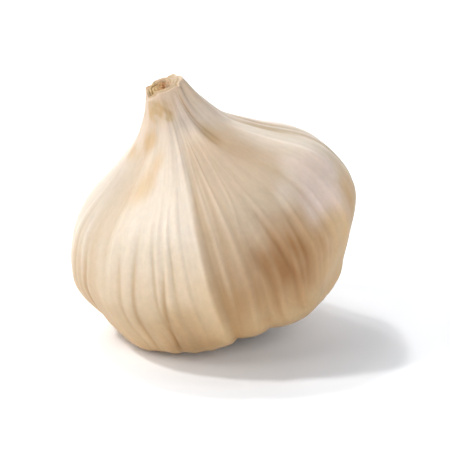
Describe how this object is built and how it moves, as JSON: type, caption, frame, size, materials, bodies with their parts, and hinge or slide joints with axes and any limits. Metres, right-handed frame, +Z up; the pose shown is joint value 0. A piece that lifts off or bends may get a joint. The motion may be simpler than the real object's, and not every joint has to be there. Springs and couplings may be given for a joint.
{
  "type": "garlic bulb",
  "caption": "Whole dry garlic bulb lying tilted on its side, with papery skin drawn over its cloves, a short cut neck and trimmed roots.",
  "frame": {"origin": "centre of the bounding box in plan, on the table that the bulb lies on", "axes": "+Z up from the table, +X the widest way across the bulb as it lies, away from the side that its neck leans to, +Y away from the side seen from the front"},
  "size_m": [0.0605, 0.0532, 0.0574],
  "materials": {
    "papery_skin": "thin dry papery leaf with a soft satin sheen",
    "dried_leaf": "dry, dull, brown, curled leaf edges",
    "dry_root": "dull, dry, fibrous"
  },
  "bodies": {
    "root": {"bulb": "papery_skin", "neck_core": "dried_leaf", "root_plate": "dry_root"}
  },
  "joints": []
}
